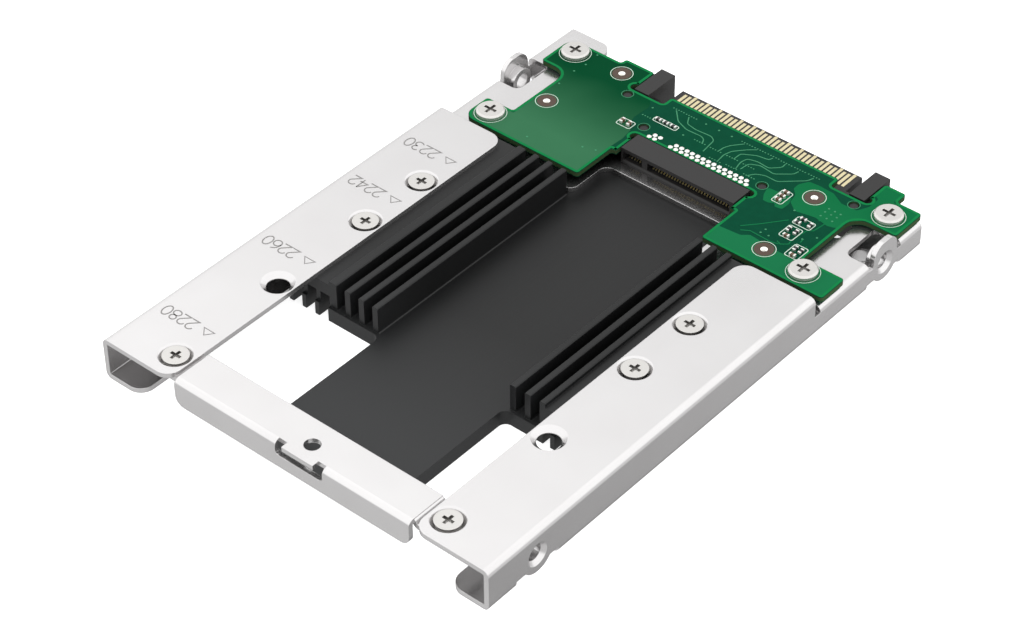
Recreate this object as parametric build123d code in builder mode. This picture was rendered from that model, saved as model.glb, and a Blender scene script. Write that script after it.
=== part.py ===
"""Carrier that holds an M.2 solid-state card in a 2.5 inch drive bay.

Millimetres. X runs across the carrier, Y towards the drive connector, Z up.
The origin is at the middle of the carrier's footprint, on its underside.
"""
import os

from build123d import *

# Outside of the carrier: a 2.5 inch drive, 7 mm high
width = 69.85
height = 7.0
front_y = -50.1
left_rear_y = 50.1
right_rear_y = 45.2
half_width = width / 2

# Folded steel sheet: a bend is rounded outside by bend and inside by crease
sheet = 0.8
bend = 1.0
crease = bend - sheet

# Side rails: upper runs in front, lower shelves behind, flanges below
rail_inner = 22.0
flange_inner = 28.0
rail_rear = 19.2
rail_corner = 2.3
shelf_top = 4.6
shelf_gap = 1.4
left_shelf_inner = 26.4
right_shelf_inner = 28.3
shelf_corner = 2.0

# Floor between the shelves, lower again, with a bay for the card
floor_top = 3.2
jog_outer = 22.6
jog_inner = 21.6
floor_front = 19.9
floor_rear = 38.0
floor_corner = 1.5
bay_rear = 27.8
slot_hole_x = 27.0
slot_hole_y = 36.3
slot_hole_width = 1.8
slot_hole_length = 4.1

# Mounting threads, M3: two on each side and four below
thread_r = 1.25
thread_lead = 0.6
side_collar_r = 2.1
bottom_collar_r = 1.8
collar_length = 1.2
side_hole_z = 3.0
front_hole_y = -40.5
rear_hole_y = 36.1
bottom_hole_x = 30.86
disc_r = 3.0
notch_depth = 1.3
notch_height = 1.2
disc_notch = 4.2
ear_half = 2.8
ear_top = 6.9
ear_corner = 2.2
ear_slot_width = 3.2
ear_slot_gap = 1.05
ear_slot_corner = 1.2

# Countersunk screw stations on the rails, one for each length of card
station_x = 24.7
first_station_y = -46.1
station_steps = (0.0, 20.0, 38.0, 50.0)
bar_stations = (0,)
heatsink_stations = (2, 3)
sink_r = 2.5
sink_hole_r = 1.7

# Small countersunk screws: the head's flat seat lies on the piece below the rail
small_thread_r = 1.0
small_head_r = 1.95
small_seat_r = 1.6
bar_screw_length = 1.7
heatsink_screw_length = 1.9
small_recess_span = 1.8
thread_gap = 0.05

# Pan head screws that hold the board
board_screws_at = ((-28.85, 24.0), (29.2, 24.0), (-28.85, 43.95), (31.25, 41.9))
board_thread_r = 1.25
board_boss_r = 1.8
board_seat = 0.4
board_head_r = 2.2
board_head_height = 0.8
board_head_chamfer = 0.25
board_screw_length = 3.0
board_hole_r = 1.45
board_recess_span = 2.2
recess_width = 0.5
recess_depth = 0.5

# Middles of the card, of its socket and of the drive plug
card_x = 1.8
socket_x = 2.0
plug_x = 5.2

# Front bar
bar_front = -49.9
bar_rear = -43.2
bar_end_gap = 0.15
joggle_run = 0.6
bar_tab_end = 28.0
bar_tab_front = -48.8
lip_bottom = 2.7
lip_corner = 1.5
card_hole_r = 1.2
card_hole_y = -47.1
lip_slot_half = 4.25
lip_slot_bottom = 4.8
lip_slot_corner = 0.6
lip_tongue_half = 2.8

# Heatsink: plate and tongue, upright fins, wings under the rails with hanging fins
plate_thickness = floor_top - sheet
plate_front = -21.8
plate_rear = 31.0
tongue_half = 11.4
tongue_front = -46.0
tongue_corner = 1.2
fin_top = 6.9
fin_front = -21.35
fin_rear = 19.5
fin_thickness = 1.0
fin_pitch = 2.6
fin_bay_half = 12.05
left_fins = 3
right_fins = 2
left_block_thickness = 1.45
right_block_thickness = 0.95
fin_tip = 0.15
wing_thickness = 2.0
hanging_gap = 0.95
hanging_pitch = 2.5
hanging_thickness = 0.8
hanging_fins = 3

# Circuit board, on bosses that stand a little above the shelves
board_thickness = 0.8
board_bottom = shelf_top + board_seat
board_top = board_bottom + board_thickness
board_left = -31.7
board_right = 34.65
board_front = 21.0
board_rear = 47.7
board_corner = 0.5
board_screw_corner = 2.0
left_step_x = -21.8
left_step_y = 46.5
right_step_x = 30.3
right_step_y = 45.4
left_ear_bay = (-26.6, 26.6, 39.3)
right_ear_bay = (27.5, 26.4, 38.9)
ear_bay_corner = 2.4
card_bay_half = 11.45
card_bay_rear = 28.9
socket_gap = 0.2
lobe_r = 0.75
plug_bay_front = 42.3
plug_bay_gap = 0.2
plug_tab_half = 15.5
plug_tab_rear = 44.4
plated_holes_at = ((-20.0, 44.4), (-24.3, 31.7), (20.5, 38.6), (22.0, 24.5))
plated_hole_r = 0.55

# Card socket, sunk into the board's bay, with a foot below the board
socket_front = 29.9
socket_rear = 33.9
socket_half = 10.4
socket_top = 5.9
socket_foot_half = 12.0
socket_foot_rear = 37.2
slot_bottom = 3.7
slot_top = 5.0
slot_half = 9.9
slot_depth = 3.0
slot_lead = 0.3
key_rib = 1.0
peg_r = 0.65
peg_hole_r = 0.8
peg_rise = 0.6
socket_peg_x = 11.0
socket_peg_y = 36.0

# Card contacts: places count from the right, and a key takes some of them
card_pitch = 0.5
card_place_count = 38
key_first = 29
key_places = 4
card_contact_width = 0.24
card_contact_thickness = 0.12
contact_reach = 2.2
contact_bump = 0.45
joint_front_y = 34.7
joint_rear_y = 35.5
joint_r = 0.42
joint_sides = 6
joint_height = 0.15

# Drive plug: body, contact tongue and two guide arms
plug_bottom = 1.15
plug_front = 38.6
plug_body_rear = 44.6
plug_ear_half = 22.4
plug_ear_rear = 48.4
tongue_top = 4.1
tongue_thickness = 1.25
plug_tongue_half = 16.7
plug_tongue_rear = 49.0
tongue_lead = 0.25
arm_inner = 18.6
arm_outer = 21.25
arm_top = 5.85
arm_front = 42.6
arm_rear = 49.6
arm_lead = 0.4
plug_peg_x = 20.95
plug_peg_shift = -0.3
plug_peg_y = 40.9

# Plug contacts: one fine row above, and three rows below
upper_count = 40
fine_pitch = 0.8
coarse_pitch = 1.27
fine_width = 0.5
coarse_width = 0.8
blade_sunk = 0.1
blade_proud = 0.03
blade_front = 45.2
blade_rear = 48.2
long_blade_rear = 48.6
long_blades = (3, 6, 9, 11, 14, 17, 19, 22, 25, 28, 31, 34, 37, 40)
signal_count = 7
signal_first = -15.7
lane_count = 6
lane_first = -6.95
power_count = 15
power_first = -1.85

# Chip parts on the board
chip_length = 1.0
chip_width = 0.5
chip_cap = 0.25
capacitor_height = 0.5
resistor_height = 0.35
capacitors_along_x = ((16.85, 36.7), (16.85, 35.7), (16.85, 34.7), (22.7, 28.75), (26.0, 25.8))
capacitors_along_y = ((-12.3, 35.0), (-11.0, 35.0))
resistors_along_x = ((22.4, 33.4), (22.1, 32.35))
resistors_along_y = ((23.95, 32.85), (22.05, 30.3), (23.3, 30.3), (25.4, 27.35), (26.4, 27.3))
links_along_x = ((-8.4, 38.75), (-7.0, 38.75), (-5.6, 38.75))

os.makedirs("parts", exist_ok=True)


def write(piece, name):
    """Label a finished piece and write it as its own STEP file."""
    piece.part.label = name
    export_step(piece.part, f"parts/{name}.step")


def station_places(chosen):
    """Places of the chosen screw stations on both rails."""
    return [(side * station_x, first_station_y + station_steps[i]) for i in chosen for side in (-1, 1)]


def sheet_face(plane, points, radii):
    """Section of a folded sheet, from the points along its outer face on the plane."""
    with BuildSketch(plane) as section:
        with BuildLine():
            offset(FilletPolyline(*points, radius=radii), amount=sheet, side=Side.LEFT)
        make_face()
    return section.sketch


def run_along_y(face, start, end):
    """Run a section that lies in the XZ plane from start to end."""
    extrude(face.moved(Location((0, start, 0))), amount=end - start, dir=(0, 1, 0))


def box_between(x0, x1, y0, y1, z0, z1, mode=Mode.ADD):
    """A box given by its limits."""
    with Locations(((x0 + x1) / 2, (y0 + y1) / 2, (z0 + z1) / 2)):
        Box(abs(x1 - x0), abs(y1 - y0), abs(z1 - z0), mode=mode)


def rectangle_between(x0, x1, y0, y1, mode=Mode.ADD):
    """A rectangle given by its limits."""
    with Locations(((x0 + x1) / 2, (y0 + y1) / 2)):
        Rectangle(abs(x1 - x0), abs(y1 - y0), mode=mode)


def corners_at(shapes, *places):
    """Upright edges, or corners of a sketch, that stand at the given places."""
    reach = 0.05
    return [s for s in shapes for x, y in places if abs(s.center().X - x) + abs(s.center().Y - y) < reach]


# Tray: one sheet folded into rails, flanges, shelves and the floor between them
with BuildPart() as tray:
    channel = [(flange_inner, 0), (half_width, 0), (half_width, height), (rail_inner, height)]
    angle = [(flange_inner, 0), (half_width, 0), (half_width, shelf_top - bend)]
    shelf = [(flange_inner, 0), (half_width, 0), (half_width, shelf_top), (jog_outer, shelf_top),
             (jog_inner, floor_top)]
    channel_face = sheet_face(Plane.XZ, channel, bend)
    angle_face = sheet_face(Plane.XZ, angle, bend)
    shelf_face = sheet_face(Plane.XZ, shelf + [(-x, z) for x, z in reversed(shelf)],
                            [bend, bend, bend, crease, crease, bend, bend, bend])
    run_along_y(channel_face, front_y, rail_rear)
    run_along_y(channel_face.mirror(Plane.YZ), front_y, rail_rear)
    run_along_y(angle_face, front_y, right_rear_y)
    run_along_y(angle_face.mirror(Plane.YZ), front_y, left_rear_y)
    run_along_y(shelf_face, floor_front, left_rear_y)

    # The shelves start behind a gap, and the floor stops in front of the plug
    for side in (-1, 1):
        box_between(side * jog_outer, side * width, floor_front, rail_rear + shelf_gap,
                    shelf_top - bend, height, Mode.SUBTRACT)
    box_between(-left_shelf_inner, right_shelf_inner, floor_rear, left_rear_y, sheet, height, Mode.SUBTRACT)
    box_between(0, width, right_rear_y, left_rear_y, 0, height, Mode.SUBTRACT)
    box_between(card_x - tongue_half, card_x + tongue_half, floor_front, bay_rear, 0, height, Mode.SUBTRACT)
    uprights = tray.edges().filter_by(Axis.Z)
    fillet(corners_at(uprights, (card_x - tongue_half, floor_front), (card_x + tongue_half, floor_front),
                      (card_x - tongue_half, bay_rear), (card_x + tongue_half, bay_rear),
                      (-left_shelf_inner, floor_rear), (right_shelf_inner, floor_rear)), floor_corner)
    fillet(corners_at(tray.edges().filter_by(Axis.Z), (-left_shelf_inner, left_rear_y),
                      (right_shelf_inner, right_rear_y)), shelf_corner)
    flange_corners = [(side * flange_inner, y) for side, y in
                      ((-1, front_y), (1, front_y), (-1, left_rear_y), (1, right_rear_y))]
    fillet(corners_at(tray.edges().filter_by(Axis.Z), *flange_corners), rail_corner)
    fillet(corners_at(tray.edges().filter_by(Axis.Z), *[(side * rail_inner, y) for side in (-1, 1)
                      for y in (front_y, rail_rear)]), rail_corner)

    # Slots in the shelves free the ears round the rear side threads
    ear_x = half_width - ear_slot_width / 2
    with BuildSketch(Plane.XY.offset(height)):
        with Locations(*[(side * ear_x, rear_hole_y) for side in (-1, 1)]):
            RectangleRounded(ear_slot_width + 2 * ear_slot_corner, 2 * (ear_half + ear_slot_gap),
                             ear_slot_corner)
    extrude(amount=shelf_top - bend - height, mode=Mode.SUBTRACT)
    for side in (-1, 1):
        with BuildSketch(Plane.YZ.offset(side * half_width)) as ear:
            with Locations((rear_hole_y, ear_top / 2)):
                Rectangle(2 * ear_half, ear_top)
            fillet(ear.vertices().group_by(Axis.Z)[-1], ear_corner)
        extrude(amount=-side * sheet)

    # The lower bend is notched at each side thread, and a disc of the wall is left
    for side in (-1, 1):
        for y in (front_hole_y, rear_hole_y):
            box_between(side * (half_width - notch_depth), side * width, y - disc_notch, y + disc_notch,
                        0, notch_height, Mode.SUBTRACT)
            with BuildSketch(Plane.YZ.offset(side * half_width)):
                with Locations((y, side_hole_z)):
                    Circle(disc_r)
            extrude(amount=-side * sheet)
            with BuildSketch(Plane.YZ.offset(side * half_width)):
                with Locations((y, side_hole_z)):
                    Circle(side_collar_r)
            extrude(amount=-side * (sheet + collar_length))
            with Locations(Plane((side * half_width, y, side_hole_z), z_dir=(side, 0, 0))):
                Hole(thread_r, depth=sheet + collar_length)
    rims = tray.edges().filter_by(GeomType.CIRCLE).filter_by(lambda e: abs(e.radius - thread_r) < thread_gap)
    chamfer([e for e in rims if abs(abs(e.center().X) - half_width) < thread_gap], thread_lead)

    # Threads below, threads for the board, and the countersunk stations above
    below = [(x, y) for x in (-bottom_hole_x, bottom_hole_x) for y in (front_hole_y, rear_hole_y)]
    with Locations(*[(x, y, sheet) for x, y in below]):
        Cylinder(bottom_collar_r, collar_length, align=(Align.CENTER, Align.CENTER, Align.MIN))
    with Locations(*[(x, y, 0) for x, y in below]):
        Cylinder(thread_r, sheet + collar_length, align=(Align.CENTER, Align.CENTER, Align.MIN),
                 mode=Mode.SUBTRACT)
    with Locations(*[(x, y, shelf_top) for x, y in board_screws_at]):
        Cylinder(board_boss_r, board_seat, align=(Align.CENTER, Align.CENTER, Align.MIN))
    with Locations(*[(x, y, board_bottom) for x, y in board_screws_at]):
        Hole(board_thread_r, depth=board_seat + sheet)
    with Locations(*[(x, y, height) for x, y in station_places(range(len(station_steps)))]):
        CounterSinkHole(sink_hole_r, sink_r, depth=sheet, counter_sink_angle=90)
    with BuildSketch(Plane.XY.offset(shelf_top)):
        with Locations((slot_hole_x, slot_hole_y)):
            SlotOverall(slot_hole_length, slot_hole_width, rotation=90)
    extrude(amount=-sheet, mode=Mode.SUBTRACT)

write(tray, "tray")

# Front bar: a second folded sheet that can move to another station
bar_end = rail_inner - bar_end_gap
bar_flat = bar_end - joggle_run
under_rail = height - sheet
with BuildPart() as front_bar:
    joggle = [(bar_tab_end, under_rail), (bar_end, under_rail), (bar_flat, height)]
    joggle_face = sheet_face(Plane.XZ, joggle + [(-x, z) for x, z in reversed(joggle)],
                             [crease, bend, bend, crease])
    run_along_y(joggle_face, bar_tab_front, bar_rear)
    lip = sheet_face(Plane.YZ, [(bar_rear, height), (bar_front, height), (bar_front, lip_bottom)], bend)
    extrude(lip, amount=bar_flat, both=True)
    lip_edges = front_bar.edges().filter_by(Axis.Y).group_by(Axis.Z)[0]
    fillet(lip_edges, lip_corner)
    box_between(card_x - lip_slot_half, card_x + lip_slot_half, front_y, bar_front + bend,
                lip_slot_bottom, height, Mode.SUBTRACT)
    level_faces = front_bar.faces().filter_by(Axis.Z)
    slot_floor = [face for face in level_faces if abs(face.center().Z - lip_slot_bottom) < crease]
    fillet(ShapeList(slot_floor).edges().filter_by(Axis.Y), lip_slot_corner)
    box_between(card_x - lip_tongue_half, card_x + lip_tongue_half, front_y, bar_front + bend,
                under_rail, height)
    with Locations((card_x, card_hole_y, height)):
        Hole(card_hole_r, depth=sheet)
    with Locations(*[(x, y, under_rail) for x, y in station_places(bar_stations)]):
        Hole(small_thread_r, depth=sheet)

write(front_bar, "front_bar")

# Heatsink: one extrusion, milled back above its plate at the front
left_block = card_x - fin_bay_half - left_fins * fin_pitch
right_block = card_x + fin_bay_half + right_fins * fin_pitch
plate_left = left_block - left_block_thickness
plate_right = right_block + right_block_thickness
wing_end = flange_inner - hanging_gap
with BuildPart() as heatsink:
    with BuildSketch(Plane.XZ) as section:
        rectangle_between(plate_left, plate_right, 0, plate_thickness)
        for i in range(left_fins):
            face_x = card_x - fin_bay_half - i * fin_pitch
            rectangle_between(face_x - fin_thickness, face_x, plate_thickness, fin_top)
        for i in range(right_fins):
            face_x = card_x + fin_bay_half + i * fin_pitch
            rectangle_between(face_x, face_x + fin_thickness, plate_thickness, fin_top)
        rectangle_between(plate_left, left_block, plate_thickness, fin_top)
        rectangle_between(right_block, plate_right, plate_thickness, fin_top)
        chamfer(section.vertices().group_by(Axis.Z)[-1], fin_tip)
        rectangle_between(-wing_end, plate_left, under_rail - wing_thickness, under_rail)
        rectangle_between(plate_right, wing_end, under_rail - wing_thickness, under_rail)
        for i in range(hanging_fins):
            fin_x = wing_end - i * hanging_pitch
            for side in (-1, 1):
                rectangle_between(side * (fin_x - hanging_thickness), side * fin_x, 0,
                                  under_rail - wing_thickness)
    run_along_y(section.sketch, plate_front, fin_rear)
    box_between(-wing_end, wing_end, plate_front, fin_front, plate_thickness, height, Mode.SUBTRACT)
    with BuildSketch() as footprint:
        rectangle_between(plate_left, plate_right, plate_front, plate_rear)
        rectangle_between(card_x - tongue_half, card_x + tongue_half, tongue_front, plate_front)
        inner = [(card_x - tongue_half, plate_front), (card_x + tongue_half, plate_front)]
        fillet(corners_at(footprint.vertices(), *inner), tongue_corner)
    extrude(amount=plate_thickness)
    with Locations(*[(x, y, under_rail) for x, y in station_places(heatsink_stations)]):
        Hole(small_thread_r, depth=wing_thickness)

write(heatsink, "heatsink")

# Circuit board
with BuildPart() as circuit_board:
    with BuildSketch(Plane.XY.offset(board_bottom)) as outline:
        rectangle_between(board_left, board_right, board_front, board_rear)
        rectangle_between(board_left, left_step_x, left_step_y, board_rear, Mode.SUBTRACT)
        rectangle_between(right_step_x, board_right, right_step_y, board_rear, Mode.SUBTRACT)
        ear_bays = (left_ear_bay, right_ear_bay)
        for side, (inner_x, bay_front, bay_back) in zip((board_left, board_right), ear_bays):
            rectangle_between(side, inner_x, bay_front, bay_back, Mode.SUBTRACT)
        card_bay = (socket_x - card_bay_half, socket_x + card_bay_half)
        socket_bay = (socket_x - socket_half - socket_gap, socket_x + socket_half + socket_gap)
        plug_bay = (plug_x - arm_outer - plug_bay_gap, plug_x + arm_outer + plug_bay_gap)
        plug_tab = (plug_x - plug_tab_half, plug_x + plug_tab_half)
        rectangle_between(*card_bay, board_front, card_bay_rear, Mode.SUBTRACT)
        rectangle_between(*socket_bay, card_bay_rear, socket_rear + socket_gap, Mode.SUBTRACT)
        rectangle_between(*plug_bay, plug_bay_front, board_rear, Mode.SUBTRACT)
        rectangle_between(*plug_tab, plug_bay_front, plug_tab_rear)
        sharp = [(x, y) for x in card_bay for y in (board_front, card_bay_rear)]
        sharp += [(x, board_rear) for x in plug_bay] + [(x, y) for x in plug_tab
                                                        for y in (plug_bay_front, plug_tab_rear)]
        sharp += [(right_step_x, right_step_y), (right_step_x, board_rear), (board_right, board_front),
                  (board_right, right_step_y)]
        sharp += [(board_left, y) for y in left_ear_bay[1:]] + [(board_right, y) for y in right_ear_bay[1:]]
        sharp += [(bay[0], bay[1]) for bay in ear_bays]
        sharp += [(left_step_x, left_step_y), (left_step_x, board_rear)]
        fillet(corners_at(outline.vertices(), *sharp), board_corner)
        fillet(corners_at(outline.vertices(), (board_left, board_front), (board_left, left_step_y)),
               board_screw_corner)
        fillet(corners_at(outline.vertices(), *[(bay[0], bay[2]) for bay in ear_bays]), ear_bay_corner)
        with Locations(*[(x, socket_rear + socket_gap - lobe_r) for x in socket_bay],
                       *[(x, plug_bay_front + lobe_r) for x in plug_bay]):
            Circle(lobe_r, mode=Mode.SUBTRACT)
        with Locations(*board_screws_at):
            Circle(board_hole_r, mode=Mode.SUBTRACT)
        with Locations(*plated_holes_at):
            Circle(plated_hole_r, mode=Mode.SUBTRACT)
        pegs = [(socket_x + side * socket_peg_x, socket_peg_y) for side in (-1, 1)]
        pegs += [(plug_x + plug_peg_shift + side * plug_peg_x, plug_peg_y) for side in (-1, 1)]
        with Locations(*pegs):
            Circle(peg_hole_r, mode=Mode.SUBTRACT)
    extrude(amount=board_thickness)

write(circuit_board, "circuit_board")

# Card socket: moulded housing with a slot to the front, a key and two pegs
card_contacts_x = [card_x + (card_place_count / 2 - k - 0.5) * card_pitch for k in range(card_place_count)
                   if k not in range(key_first, key_first + key_places)]
key_x = card_x + (card_place_count / 2 - key_first - key_places / 2) * card_pitch
with BuildPart() as socket_housing:
    box_between(socket_x - socket_half, socket_x + socket_half, socket_front, socket_rear,
                floor_top, socket_top)
    box_between(socket_x - socket_foot_half, socket_x + socket_foot_half, socket_rear, socket_foot_rear,
                floor_top, board_bottom)
    box_between(card_x - slot_half, card_x + slot_half, socket_front, socket_front + slot_depth,
                slot_bottom, slot_top, Mode.SUBTRACT)
    mouth = socket_housing.faces().sort_by(Axis.Y)[0].inner_wires()[0].edges().filter_by(Axis.X)
    chamfer(mouth, slot_lead)
    box_between(key_x - key_rib / 2, key_x + key_rib / 2, socket_front + slot_lead, socket_front + slot_depth,
                slot_bottom, slot_top)
    with Locations(*[(x, y, board_bottom) for x, y in pegs[:2]]):
        Cylinder(peg_r, peg_rise, align=(Align.CENTER, Align.CENTER, Align.MIN))

write(socket_housing, "socket_housing")


def spring_face(base_z, up):
    """Side view of a bent spring contact that lies on one face of the slot."""
    back = socket_front + slot_depth
    tip = back - contact_reach
    points = [(back, base_z), (tip + 2 * contact_bump, base_z),
              (tip + contact_bump, base_z + up * contact_bump), (tip, base_z + up * contact_bump / 2)]
    with BuildSketch(Plane.YZ) as side_view:
        with BuildLine():
            offset(Polyline(*points), amount=card_contact_thickness, kind=Kind.INTERSECTION,
                   side=Side.RIGHT if up > 0 else Side.LEFT)
        make_face()
    return side_view.sketch


def card_springs(face, places):
    """One spring contact at each place across the slot."""
    with BuildPart() as spring:
        extrude(face, amount=card_contact_width / 2, both=True)
    with BuildPart() as row:
        with Locations(*[(x, 0, 0) for x in places]):
            add(spring.part)
    return row


socket_lower_contacts = card_springs(spring_face(slot_bottom, 1), card_contacts_x)

write(socket_lower_contacts, "socket_lower_contacts")

upper_contacts_x = [x - card_pitch / 2 for x in card_contacts_x[:-1]]
socket_upper_contacts = card_springs(spring_face(slot_top, -1), upper_contacts_x)

write(socket_upper_contacts, "socket_upper_contacts")

# Solder joints of the socket, in two staggered rows on the board
with BuildPart() as socket_solder:
    joints = [(x, joint_front_y if round((card_contacts_x[0] - x) / card_pitch) % 2 == 0 else joint_rear_y)
              for x in card_contacts_x[:-1]]
    with BuildSketch(Plane.XY.offset(board_top)):
        with Locations(*joints):
            RegularPolygon(joint_r, joint_sides)
    extrude(amount=joint_height, taper=45)

write(socket_solder, "socket_solder")

# Drive plug: moulded body below the board, tongue for the contacts and two guide arms
tongue_bottom = tongue_top - tongue_thickness
upper_x = [plug_x + (i - (upper_count - 1) / 2) * fine_pitch for i in range(upper_count)]
long_x = [upper_x[i - 1] for i in long_blades]
short_x = [x for x in upper_x if x not in long_x]
signal_x = [plug_x + signal_first + i * coarse_pitch for i in range(signal_count)]
lane_x = [plug_x + lane_first + i * fine_pitch for i in range(lane_count)]
power_x = [plug_x + power_first + i * coarse_pitch for i in range(power_count)]


def blades(places, rear, blade_width, low, high, mode=Mode.ADD):
    """Flat blades along the tongue, one at each place, between two heights."""
    with BuildSketch(Plane.XY.offset(low)) as row:
        with Locations(*[(x, (blade_front + rear) / 2) for x in places]):
            Rectangle(blade_width, rear - blade_front)
    extrude(row.sketch, amount=high - low, mode=mode)


def upper_blades(low, high, mode=Mode.ADD):
    """Blades of the upper row, which are longer at some places."""
    blades(short_x, blade_rear, fine_width, low, high, mode)
    blades(long_x, long_blade_rear, fine_width, low, high, mode)


with BuildPart() as plug_housing:
    box_between(plug_x - arm_inner, plug_x + arm_inner, plug_front, plug_body_rear, plug_bottom, tongue_top)
    box_between(plug_x - plug_tongue_half, plug_x + plug_tongue_half, plug_body_rear, plug_tongue_rear,
                tongue_bottom, tongue_top)
    chamfer(plug_housing.faces().sort_by(Axis.Y)[-1].edges(), tongue_lead)
    for side in (-1, 1):
        box_between(plug_x + side * arm_inner, plug_x + side * plug_ear_half, plug_front, plug_ear_rear,
                    plug_bottom, board_bottom)
        box_between(plug_x + side * arm_inner, plug_x + side * arm_outer, arm_front, arm_rear,
                    plug_bottom, arm_top)
    chamfer(plug_housing.faces().filter_by(Axis.Y).group_by(Axis.Y)[-1].edges(), arm_lead)
    with Locations(*[(x, y, board_bottom) for x, y in pegs[2:]]):
        Cylinder(peg_r, peg_rise, align=(Align.CENTER, Align.CENTER, Align.MIN))
    upper_blades(tongue_top - blade_sunk, tongue_top, Mode.SUBTRACT)
    for places, blade_width in ((signal_x, coarse_width), (lane_x, fine_width), (power_x, coarse_width)):
        blades(places, blade_rear, blade_width, tongue_bottom, tongue_bottom + blade_sunk, Mode.SUBTRACT)

write(plug_housing, "plug_housing")

with BuildPart() as plug_upper_contacts:
    upper_blades(tongue_top - blade_sunk, tongue_top + blade_proud)

write(plug_upper_contacts, "plug_upper_contacts")

with BuildPart() as plug_signal_contacts:
    blades(signal_x, blade_rear, coarse_width, tongue_bottom - blade_proud, tongue_bottom + blade_sunk)

write(plug_signal_contacts, "plug_signal_contacts")

with BuildPart() as plug_lane_contacts:
    blades(lane_x, blade_rear, fine_width, tongue_bottom - blade_proud, tongue_bottom + blade_sunk)

write(plug_lane_contacts, "plug_lane_contacts")

with BuildPart() as plug_power_contacts:
    blades(power_x, blade_rear, coarse_width, tongue_bottom - blade_proud, tongue_bottom + blade_sunk)

write(plug_power_contacts, "plug_power_contacts")


def cross_recess(span, top):
    """Cross cut into a screw head at the top."""
    for turn in (0, 90):
        with Locations(Location((0, 0, top), (0, 0, turn))):
            Box(span, recess_width, recess_depth, align=(Align.CENTER, Align.CENTER, Align.MAX),
                mode=Mode.SUBTRACT)


def small_screw(length):
    """Countersunk screw, its shank reaching the given length below its seat."""
    shank_r = small_thread_r - thread_gap
    with BuildPart() as screw:
        with BuildSketch(Plane.XZ):
            with BuildLine():
                Polyline((0, height), (small_head_r, height), (small_seat_r, under_rail),
                         (shank_r, under_rail), (shank_r, under_rail - length), (0, under_rail - length),
                         (0, height))
            make_face()
        revolve(axis=Axis.Z)
        cross_recess(small_recess_span, height)
    return screw.part


small_screws = (("bar_screws", bar_stations, bar_screw_length),
                ("heatsink_screws", heatsink_stations, heatsink_screw_length))
for name, chosen, length in small_screws:
    with BuildPart() as screws:
        with Locations(*station_places(chosen)):
            add(small_screw(length))
    write(screws, name)

# Board screws: pan heads on the board, shanks in the shelves' threads
with BuildPart() as board_screw:
    Cylinder(board_head_r, board_head_height, align=(Align.CENTER, Align.CENTER, Align.MIN))
    chamfer(board_screw.edges().group_by(Axis.Z)[-1], board_head_chamfer)
    Cylinder(board_thread_r - thread_gap, board_screw_length, align=(Align.CENTER, Align.CENTER, Align.MAX))
    cross_recess(board_recess_span, board_head_height)

with BuildPart() as board_screws:
    with Locations(*[(x, y, board_top) for x, y in board_screws_at]):
        add(board_screw.part)

write(board_screws, "board_screws")


def chip_bodies(places, turn, chip_height):
    """Bodies of chip parts, between their end caps."""
    for x, y in places:
        with Locations(Location((x, y, board_top), (0, 0, turn))):
            Box(chip_length - 2 * chip_cap, chip_width, chip_height,
                align=(Align.CENTER, Align.CENTER, Align.MIN))


def chip_caps(places, turn, chip_height):
    """Metal end caps of chip parts."""
    for x, y in places:
        with Locations(Location((x, y, board_top), (0, 0, turn))):
            with Locations((-(chip_length - chip_cap) / 2, 0), ((chip_length - chip_cap) / 2, 0)):
                Box(chip_cap, chip_width, chip_height, align=(Align.CENTER, Align.CENTER, Align.MIN))


chip_kinds = (("capacitor", capacitors_along_x, capacitors_along_y, capacitor_height),
              ("resistor", resistors_along_x, resistors_along_y, resistor_height),
              ("link", links_along_x, (), resistor_height))
for kind, along_x, along_y, chip_height in chip_kinds:
    with BuildPart() as bodies:
        chip_bodies(along_x, 0, chip_height)
        chip_bodies(along_y, 90, chip_height)
    write(bodies, f"{kind}_bodies")
    with BuildPart() as caps:
        chip_caps(along_x, 0, chip_height)
        chip_caps(along_y, 90, chip_height)
    write(caps, f"{kind}_caps")
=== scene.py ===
"""Looks of the card carrier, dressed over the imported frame. Metres, in the frame of the solids."""
from math import radians

import bpy
import numpy as np
from mathutils import Euler, Matrix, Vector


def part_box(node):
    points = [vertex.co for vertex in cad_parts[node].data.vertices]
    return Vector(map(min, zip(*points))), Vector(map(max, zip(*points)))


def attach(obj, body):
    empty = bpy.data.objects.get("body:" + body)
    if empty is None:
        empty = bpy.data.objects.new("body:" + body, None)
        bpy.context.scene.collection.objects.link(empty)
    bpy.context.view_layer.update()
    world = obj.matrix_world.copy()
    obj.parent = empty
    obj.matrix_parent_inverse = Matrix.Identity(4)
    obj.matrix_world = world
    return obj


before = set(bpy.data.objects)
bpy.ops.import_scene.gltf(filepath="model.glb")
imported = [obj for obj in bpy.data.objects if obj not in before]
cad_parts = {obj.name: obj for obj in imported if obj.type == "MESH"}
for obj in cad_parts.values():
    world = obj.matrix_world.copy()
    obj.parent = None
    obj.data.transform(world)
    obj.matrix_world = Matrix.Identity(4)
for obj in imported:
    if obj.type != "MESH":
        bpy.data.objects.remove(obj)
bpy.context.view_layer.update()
MM = 0.001

# Camera. It stands to the right in front and looks down along the carrier, as the photograph was taken.
# Its place, turn and focal length were worked out from the edges of the drive's known size.
camera_at = np.array((210.74, -247.85, 276.22)) * MM
camera_turn = radians(40.929)
camera_height = radians(40.682)
camera_roll = radians(-0.572)
sensor_width = 36.0
focal_pixels = 3005.8
image_width = 1024

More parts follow.
